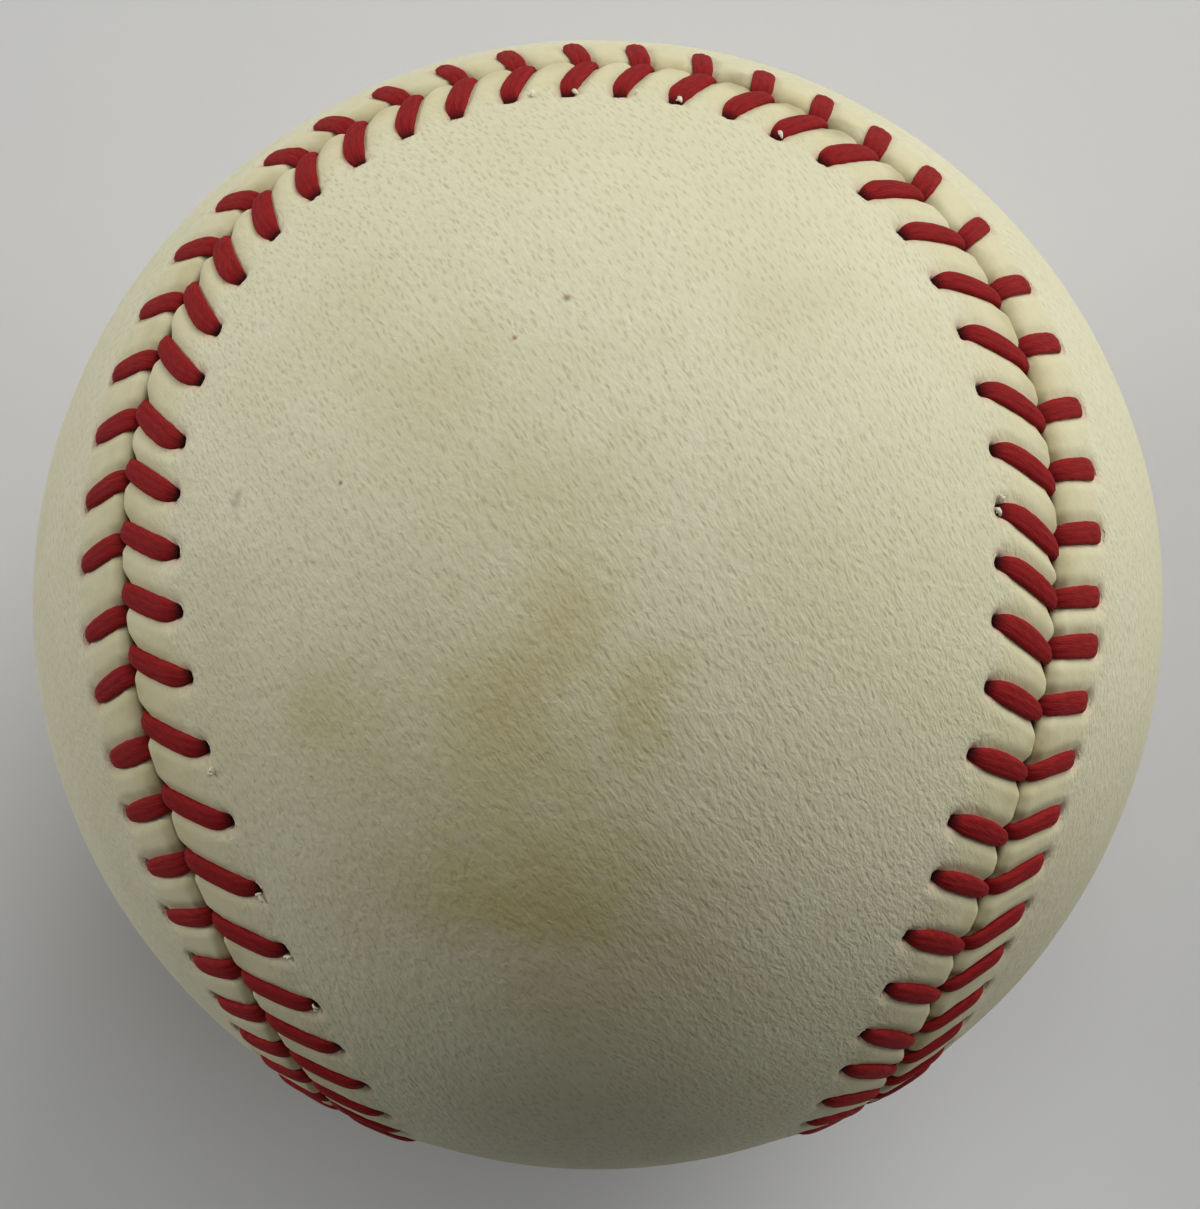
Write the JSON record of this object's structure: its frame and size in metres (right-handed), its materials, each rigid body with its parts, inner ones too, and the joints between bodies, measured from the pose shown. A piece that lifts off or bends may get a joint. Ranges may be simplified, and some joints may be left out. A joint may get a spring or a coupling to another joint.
{
  "type": "baseball",
  "caption": "Hand-stitched leather ball with a figure-eight panel cover over wound yarn and a cork and rubber centre.",
  "frame": {"origin": "centre of the ball", "axes": "+Z out through the middle of one lobe of cover_panel_a, Y through the middle of both panels' waists with +Y at cover_panel_b's waist, X through the middles of cover_panel_b's lobes"},
  "size_m": [0.0744, 0.0744, 0.0744],
  "materials": {
    "cork": "cork granules bound in rubber, matt",
    "black_rubber": "moulded black rubber, matt",
    "red_rubber": "moulded red rubber, matt",
    "gray_wool": "tightly wound gray wool yarn",
    "white_wool": "tightly wound white wool yarn",
    "white_yarn": "fine cotton and polyester yarn, wound smooth",
    "cover_leather": "worn cream cowhide with a fine creased grain and faint stains",
    "red_thread": "waxed red cotton thread, laid flat"
  },
  "bodies": {
    "root": {"cork_core": "cork", "upper_black_shell": "black_rubber", "lower_black_shell": "black_rubber", "shell_gasket": "red_rubber", "red_rubber_layer": "red_rubber", "first_wool_winding": "gray_wool", "second_wool_winding": "white_wool", "third_wool_winding": "gray_wool", "finishing_yarn": "white_yarn", "cover_panel_a": "cover_leather", "cover_panel_b": "cover_leather", "red_stitches_a": "red_thread", "red_stitches_b": "red_thread"}
  },
  "joints": []
}
